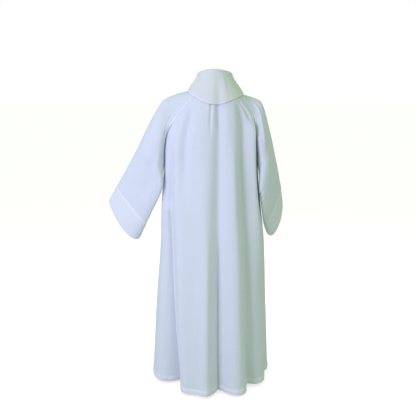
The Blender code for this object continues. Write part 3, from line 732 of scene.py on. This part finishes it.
def clothShell(name, points, rise, layersAndHighlight, wall, closedRound):
    # a closed thin shell: outer skin, inner skin and the rims between them, all facing outwards
    # because the grids run round each piece the same way
    rows, columns = points.shape[:2]
    rounded = np.round(points.reshape(-1, 3), 6)    # points that meet become one
    _, first, index = np.unique(rounded, axis=0, return_index=True, return_inverse=True)
    skin, index = points.reshape(-1, 3)[first], index.reshape(-1)
    grid = index.reshape(rows, columns)
    onward = np.roll(grid, -1, axis=1) if closedRound else grid[:, 1:]
    here = grid if closedRound else grid[:, :-1]
    faces = np.stack((here[:-1], here[1:], onward[1:], onward[:-1]), axis=-1).reshape(-1, 4)
    corner = skin[faces]
    turned = np.cross(corner[:, 2] - corner[:, 0], corner[:, 3] - corner[:, 1])
    normal = np.zeros((len(skin), 3))
    for k in range(4):
        np.add.at(normal, faces[:, k], turned)
    normal = unit(normal)
    lift = rise.reshape(-1)[first][:, None]
    outer = skin + normal * lift
    inner = skin + normal * (np.minimum(lift, 0) - wall)
    count = len(skin)
    edges = np.concatenate([faces[:, [k, (k + 1) % 4]] for k in range(4)])
    forward, backward = edges[:, 0] * count + edges[:, 1], edges[:, 1] * count + edges[:, 0]
    rim = edges[~np.isin(forward, backward)]
    rims = np.stack((rim[:, 1], rim[:, 0], count + rim[:, 0], count + rim[:, 1]), axis=-1)
    every = np.concatenate((faces, count + faces[:, ::-1], rims))
    mesh = bpy.data.meshes.new(name)
    mesh.from_pydata(np.vstack((outer, inner)).tolist(), [], every.tolist())
    uvs = mesh.uv_layers.new(name="weave")
    places = weavePlaces(points, closedRound)
    blank = np.zeros((len(rims), 4, 2))
    flatUvs = np.concatenate((places, places[:, ::-1], blank)).reshape(-1).astype(np.float32)
    uvs.data.foreach_set("uv", flatUvs)
    # how much lighter the colour is painted at each point: extra layers of cloth, and a painted highlight
    # on the welts and stitched rows
    layerHighlightMask = mesh.attributes.new("layersAndHighlight", "FLOAT", "POINT")
    once = layersAndHighlight.reshape(-1)[first]
    layerHighlightMask.data.foreach_set("value", np.concatenate((once, once)).astype(np.float32))
    mesh.shade_smooth()
    mesh.set_sharp_from_angle(angle=math.radians(60))
    piece = addObject(name, mesh)
    area = sum(face.area for face in mesh.polygons) / 2
    print(name, "has", len(every), "faces, one layer's area", round(area, 3), "m2")
    return piece, outer[index].reshape(rows, columns, 3), normal[index].reshape(rows, columns, 3)


def weavePlaces(points, closedRound):
    # metres across and down the cut piece at each corner of each face of the grid
    around = np.concatenate((points, points[:, :1]), axis=1) if closedRound else points
    across = wayAlong(around, 1)
    middle = across.shape[1] // 2
    down = wayAlong(around[:, middle])[:, None]
    places = np.stack(np.broadcast_arrays(across - across[:, [middle]], down), axis=-1)
    corners = (places[:-1, :-1], places[1:, :-1], places[1:, 1:], places[:-1, 1:])
    return np.stack(corners, axis=2).reshape(-1, 4, 2)


grids = {    # by the node that each stands for
    "back": bodyGrid("back", backShape),
    "front": bodyGrid("front", frontShape),
    "sleeve_left": sleeveGrid("left"),
    "sleeve_right": sleeveGrid("right"),
    "collar": collarGrid(collarShape),
}
pieces, skins = {}, {}
for node, grid in grids.items():
    wall = cloth["collarWall" if node == "collar" else "wall"]
    pieces[node], *skins[node] = clothShell("alb_" + node, *grid, wall, node == "collar")
print("cloth made")

# Nodes: a tree that makes them, and its sockets in Python expressions

class Socket:
    # a node's output in an expression: + - and * add their Math nodes
    def __init__(self, tree, output):
        self.tree, self.output = tree, output

    def _math(self, operation, *values):
        return self.tree.node("ShaderNodeMath", {"operation": operation}, dict(enumerate(values)))

    def __add__(self, other):
        return self._math("ADD", self, other)

    __radd__ = __add__

    def __sub__(self, other):
        return self._math("SUBTRACT", self, other)

    def __rsub__(self, other):
        return self._math("SUBTRACT", other, self)

    def __mul__(self, other):
        return self._math("MULTIPLY", self, other)

    __rmul__ = __mul__

    def sine(self):
        return self._math("SINE", self)

    def clamped(self):
        return self.tree.node("ShaderNodeClamp", {}, {"Value": self})


class Tree:
    def __init__(self, tree):
        self.tree = tree

    def put(self, socket, value):
        if isinstance(value, Socket):
            self.tree.links.new(value.output, socket)
        else:
            socket.default_value = value

    def node(self, kind, settings, values, output=0):
        # settings come first, because some of them change the sockets
        made = self.tree.nodes.new(kind)
        for key, value in settings.items():
            setattr(made, key, value)
        for key, value in values.items():
            self.put(made.inputs[key], value)
        return Socket(self, made.outputs[output])


class Material(Tree):
    def __init__(self, name):
        self.material = bpy.data.materials.new(name)
        self.material.use_nodes = True
        super().__init__(self.material.node_tree)
        self.shader = self.tree.nodes["Principled BSDF"]

    def feed(self, values):
        for name, value in values.items():
            self.put(self.shader.inputs[name], value)

    def mix(self, factor, a, b):
        return self.node("ShaderNodeMix", {"data_type": "RGBA"}, {0: factor, 6: a, 7: b}, 2)

    def noise(self, place, scale, detail):
        return self.node("ShaderNodeTexNoise", {}, {"Vector": place, "Scale": scale, "Detail": detail})


# Stitches: rows of short threads that follow lines on the cloth

stitching = {    # the tree's inputs
    "Pitch": 0.0034,
    "Length": 0.0027,
    "Thickness": 0.00055,
    "Uneven Turn": 0.06,    # radians that a stitch may lie off its row
    "Seed": 4,
}
stitchForm = {"lift": 0.0002, "flat": 0.36}    # half a stitch's height is 0.36 of its thickness


def stitchTree():
    # each point of the resampled line gets a stitch that lies along it, flat on the cloth
    group = bpy.data.node_groups.new("stitchRow", "GeometryNodeTree")
    group.interface.new_socket("Geometry", in_out="OUTPUT", socket_type="NodeSocketGeometry")
    kinds = {"Geometry": "Geometry", **dict.fromkeys(stitching, "Float"), "Thread": "Material"}
    kinds["Seed"] = "Int"
    for label, kind in kinds.items():
        group.interface.new_socket(label, in_out="INPUT", socket_type="NodeSocket" + kind)
    tree = Tree(group)
    entry = group.nodes.new("NodeGroupInput")
    given = {label: Socket(tree, entry.outputs[label]) for label in kinds}
    line = tree.node("GeometryNodeMeshToCurve", {}, {"Mesh": given["Geometry"]})
    spaced = tree.node("GeometryNodeResampleCurve", {"mode": "LENGTH"},
                       {"Curve": line, "Length": given["Pitch"]})
    outward = tree.node("GeometryNodeInputNamedAttribute", {"data_type": "FLOAT_VECTOR"},
                        {"Name": "outward"}, "Attribute")
    tangent = tree.node("GeometryNodeInputTangent", {}, {})
    along = tree.node("FunctionNodeAlignRotationToVector", {"axis": "X"}, {"Vector": tangent})
    laid = tree.node("FunctionNodeAlignRotationToVector", {"axis": "Z", "pivot_axis": "X"},
                     {"Rotation": along, "Vector": outward})
    turn = tree.node("FunctionNodeRandomValue", {"data_type": "FLOAT"},
                     {2: given["Uneven Turn"] * -1, 3: given["Uneven Turn"], "Seed": given["Seed"]}, 1)
    askew = tree.node("ShaderNodeCombineXYZ", {}, {"Z": turn})
    skewed = tree.node("FunctionNodeRotateRotation", {"rotation_space": "LOCAL"},
                       {"Rotation": laid, "Rotate By": askew})
    size = tree.node("ShaderNodeCombineXYZ", {}, {"X": given["Length"] * 0.5, "Y": given["Thickness"] * 0.5,
                                                  "Z": given["Thickness"] * stitchForm["flat"]})
    bead = tree.node("GeometryNodeMeshUVSphere", {}, {"Segments": 6, "Rings": 4, "Radius": 1.0})
    rows = tree.node("GeometryNodeInstanceOnPoints", {},
                     {"Points": spaced, "Instance": bead, "Rotation": skewed, "Scale": size})
    whole = tree.node("GeometryNodeRealizeInstances", {}, {"Geometry": rows})
    smoothed = tree.node("GeometryNodeSetShadeSmooth", {}, {"Geometry": whole})
    finished = tree.node("GeometryNodeSetMaterial", {}, {"Geometry": smoothed, "Material": given["Thread"]})
    tree.put(group.nodes.new("NodeGroupOutput").inputs[0], finished)
    return group


def stitchRows(name, lines, tree, thread):
    # one mesh of edges from several lines, turned into stitches
    places, ways, edges = [], [], []
    for line, outward, closed in lines:
        start = len(places)
        places += line.tolist()
        ways += outward.tolist()
        edges += [(start + k, start + k + 1) for k in range(len(line) - 1)]
        if closed:
            edges.append((start + len(line) - 1, start))
    mesh = bpy.data.meshes.new(name + "_lines")
    mesh.from_pydata(places, edges, [])
    mesh.attributes.new("outward", "FLOAT_VECTOR", "POINT").data.foreach_set(
        "vector", np.array(ways, np.float32).reshape(-1))
    guide = addObject(name + "_lines", mesh)
    modifier = guide.modifiers.new("stitches", "NODES")
    modifier.node_group = tree
    values = {**stitching, "Thread": thread}
    for socket in tree.interface.items_tree:
        if socket.in_out == "INPUT" and socket.name in values:
            modifier[socket.identifier] = values[socket.name]
    evaluated = guide.evaluated_get(bpy.context.evaluated_depsgraph_get())
    made = bpy.data.meshes.new_from_object(evaluated)
    made.name = name
    bpy.data.objects.remove(guide)
    print(name, "has", len(made.polygons), "faces")
    return addObject(name, made)


# Materials

weave = {
    "pitch": 0.00075,
    "ribSlant": 0.8,    # the twill's ribs, and the yarns that cross them
    "yarnSlant": 1.3,
    "yarnsToRib": 1.7,
    "heights": (0.7, 0.3, 0.6),    # shares of the ribs, the yarns and the nap
    "bump": 0.22,
    "bumpDistance": 0.00012,
    "cloudyNoise": (9.0, 3.0),    # scale and detail
    "napNoise": (420.0, 2.0),
    "cloudy": 0.10,
    "napShade": 0.08,
    "roughnessVaries": 0.10,
    "shade": (0.55, 0.62, 0.64),
    "sheen": 0.10,
    "sheenRoughness": 0.5,
    "specular": 0.25,
}
# the layered colour is the lightness of extra layers of cloth; on the alb's hems, cuffs and raglan welts it
# is also a painted highlight on their raised lines, on the collar only its seam allowance's layers
finishes = {
    "cloth": {"single": (0.79, 0.825, 0.865), "layeredAndHighlight": (0.95, 0.965, 0.975), "roughness": 0.82},
    "collar": {"single": (0.83, 0.84, 0.80), "layeredAndHighlight": (0.88, 0.885, 0.86), "roughness": 0.80},
}
threadFinish = {
    "colour": (0.88, 0.90, 0.92),
    "lintNoise": (900.0, 1.0),
    "lintShade": 0.25,
    "roughness": 0.55,
    "lintRoughness": 0.1,
    "sheen": 0.1,
}


def clothMaterial(name, single, layeredAndHighlight, roughness):
    # polyester twill: one layer shows a little greyer than two, with a soft uneven nap; the raglan welts
    # and the stitched rows of hems and cuffs are painted lighter still, a painted highlight on their raised
    # lines
    made = Material(name)
    place = made.node("ShaderNodeTexCoord", {}, {}, "Object")
    weaveUv = made.node("ShaderNodeUVMap", {"uv_map": "weave"}, {})
    u, v = (made.node("ShaderNodeSeparateXYZ", {}, {"Vector": weaveUv}, axis) for axis in "XY")
    # lighter where the cloth lies in more layers, and a painted highlight on the welts and stitched rows
    layerHighlightMask = made.node("ShaderNodeAttribute", {"attribute_name": "layersAndHighlight"}, {}, "Fac")
    cloudy = made.noise(place, *weave["cloudyNoise"])
    nap = made.noise(place, *weave["napNoise"])
    base = made.mix(layerHighlightMask.clamped(), (*single, 1), (*layeredAndHighlight, 1))
    greyer = (cloudy * weave["cloudy"] + nap * weave["napShade"]).clamped()
    turn = 2 * math.pi / weave["pitch"]
    ribs = ((u + v * weave["ribSlant"]) * turn).sine() * 0.5 + 0.5
    yarns = ((u - v * weave["yarnSlant"]) * (turn * weave["yarnsToRib"])).sine() * 0.5 + 0.5
    ribShare, yarnShare, napShare = weave["heights"]
    height = ribs * ribShare + yarns * yarnShare + nap * napShare
    bump = made.node("ShaderNodeBump", {}, {"Strength": weave["bump"], "Distance": weave["bumpDistance"],
                                            "Height": height})
    made.feed({
        "Base Color": made.mix(greyer, base, (*weave["shade"], 1)),
        "Roughness": (roughness + (cloudy - 0.5) * weave["roughnessVaries"]).clamped(),
        "Normal": bump,
        "Sheen Weight": weave["sheen"],
        "Sheen Roughness": weave["sheenRoughness"],
        "Specular IOR Level": weave["specular"],
    })
    return made.material


def threadMaterial(name, finish):
    # polyester thread, with a little lint
    made = Material(name)
    place = made.node("ShaderNodeTexCoord", {}, {}, "Object")
    lint = made.noise(place, *finish["lintNoise"])
    made.feed({
        "Base Color": made.mix(lint * finish["lintShade"], (*finish["colour"], 1), (*weave["shade"], 1)),
        "Roughness": finish["roughness"] + lint * finish["lintRoughness"],
        "Sheen Weight": finish["sheen"],
    })
    return made.material


albCloth = clothMaterial("albTwill", **finishes["cloth"])
collarCloth = clothMaterial("collarTwill", **finishes["collar"])
thread = threadMaterial("thread", threadFinish)
for node, piece in pieces.items():
    piece.data.materials.append(collarCloth if node == "collar" else albCloth)
print("materials made")

# Rows of stitches along the hem, the cuffs, the raglan welts and the collar's edge. Each is the
# rows and the columns of the grid that it follows, and whether it closes round.

hemLine = (stitchedRow(backShape["raglanRows"], backShape["skirtRows"]), slice(None), False)
cuffLine = (stitchedRow(sleeveShape["raglanRows"], sleeveShape["tubeRows"]), slice(0, -1), True)
weltRows, weltColumn = slice(2, 40), 4
sleeveLines = [cuffLine, (weltRows, weltColumn, False), (weltRows, -1 - weltColumn, False)]
stitchLines = {
    "back": [hemLine],
    "front": [hemLine],
    "sleeve_left": sleeveLines,
    "sleeve_right": sleeveLines,
    "collar": [(-4, slice(None), True)],
}
rowTree = stitchTree()
stitches = {}
for node, lines in stitchLines.items():
    outer, outward = skins[node]
    chosen = [(outer[rows, columns] + outward[rows, columns] * stitchForm["lift"],
               outward[rows, columns], closed) for rows, columns, closed in lines]
    stitches[node] = stitchRows("stitches_" + node, chosen, rowTree, thread)
print("stitches made")

# Stage, light and camera

studio = {
    "floorGap": 0.012,
    "hemHangs": 0.003,    # the folds' lowest points, below the hem's height
    "floorSize": 40.0,
    "floorColour": (0.60, 0.62, 0.60),
    "floorRoughness": 0.9,
    "floorGloss": 0.1,
    "floorGlow": (0.74, 0.70, 0.74),
    "backdrop": (1, 1, 1),
    "ambient": (0.405, 0.585, 0.35),
    "lampSize": 1.6,
    "lampsAim": (0.0, 0.0, -0.60),
    "lampsAway": 2.9,
}
# Headings are degrees from behind the back towards the wearer's left, heights are above the level
Lamp = namedtuple("Lamp", "name heading height watts colour")
lamps = [
    Lamp("key", 42, 22, 57, (0.62, 0.49, 0.96)),
    Lamp("side fill", -55, 15, 10.5, (0.80, 0.465, 1.0)),
    Lamp("front fill", 168, 18, 40, (0.76, 0.50, 0.98)),
]
lens = {"place": (0.0195, 3.0, 0.03), "down": 11.5, "focal": 53.2, "sensor": 36}

# only the camera sees the floor's glow and the white backdrop; the cloth is lit by the rest
floorMesh = bpy.data.meshes.new("floor")
size, level = studio["floorSize"], hemHeight - studio["hemHangs"] - studio["floorGap"]
corners = [(-size, -size, level), (size, -size, level), (size, size, level), (-size, size, level)]
floorMesh.from_pydata(corners, [], [(0, 1, 2, 3)])
floor = addObject("floor", floorMesh)
floorPaint = Material("paleFloor")
floorPaint.feed({
    "Base Color": (*studio["floorColour"], 1),
    "Roughness": studio["floorRoughness"],
    "Specular IOR Level": studio["floorGloss"],
})
seen = floorPaint.node("ShaderNodeLightPath", {}, {}, "Is Camera Ray")
glow = floorPaint.node("ShaderNodeEmission", {}, {"Color": (*studio["floorGlow"], 1), "Strength": seen})
paint = Socket(floorPaint, floorPaint.shader.outputs[0])
both = floorPaint.node("ShaderNodeAddShader", {}, {0: paint, 1: glow})
floorPaint.put(floorPaint.tree.nodes["Material Output"].inputs[0], both)
floorMesh.materials.append(floorPaint.material)

world = bpy.data.worlds.new("studio")
bpy.context.scene.world = world
world.use_nodes = True
sky = Tree(world.node_tree)
backdrop = world.node_tree.nodes["Background"]
backdrop.inputs["Color"].default_value = (*studio["backdrop"], 1)
seen = sky.node("ShaderNodeLightPath", {}, {}, "Is Camera Ray")
surround = sky.node("ShaderNodeBackground", {}, {"Color": (*studio["ambient"], 1)})
chosen = sky.node("ShaderNodeMixShader", {}, {0: seen, 1: surround, 2: Socket(sky, backdrop.outputs[0])})
sky.put(world.node_tree.nodes["World Output"].inputs[0], chosen)

for lamp in lamps:
    light = bpy.data.lights.new(lamp.name, "AREA")
    light.shape = "DISK"
    light.size = studio["lampSize"]
    light.energy = lamp.watts
    light.color = lamp.colour
    stand = addObject(lamp.name, light)
    heading, lift = math.radians(lamp.heading), math.radians(lamp.height)
    level = math.cos(lift)
    towards = Vector((math.sin(heading) * level, math.cos(heading) * level, math.sin(lift)))
    stand.location = Vector(studio["lampsAim"]) + towards * studio["lampsAway"]
    stand.rotation_euler = towards.to_track_quat("Z", "Y").to_euler()

camera = bpy.data.cameras.new("camera")
camera.lens = lens["focal"]
camera.sensor_width = lens["sensor"]
cameraObject = addObject("camera", camera)
cameraObject.location = lens["place"]
cameraObject.rotation_euler = (math.pi / 2 - math.radians(lens["down"]), 0, math.pi)
bpy.context.scene.camera = cameraObject
bpy.context.scene.view_settings.view_transform = "Standard"
print("stage, light and camera set")

# What each piece stands for, and the cloth it was cut from, as a table; each piece and its stitches hide
# the solid of that node and hang from the root

Cut = namedtuple("Cut", "node slot width length area")
cuts = [
    Cut("back", "cloth", 1.15, 1.48, 1.15),
    Cut("front", "cloth", 0.95, 1.43, 0.98),
    Cut("sleeve_left", "cloth", 0.61, 0.75, 0.32),
    Cut("sleeve_right", "cloth", 0.60, 0.72, 0.27),
    Cut("collar", "collar_cloth", 0.90, 0.20, 0.13),
]
for cut in cuts:
    piece, rows = pieces[cut.node], stitches[cut.node]
    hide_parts(cut.node)
    for part in (piece, rows):
        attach(part, "root")
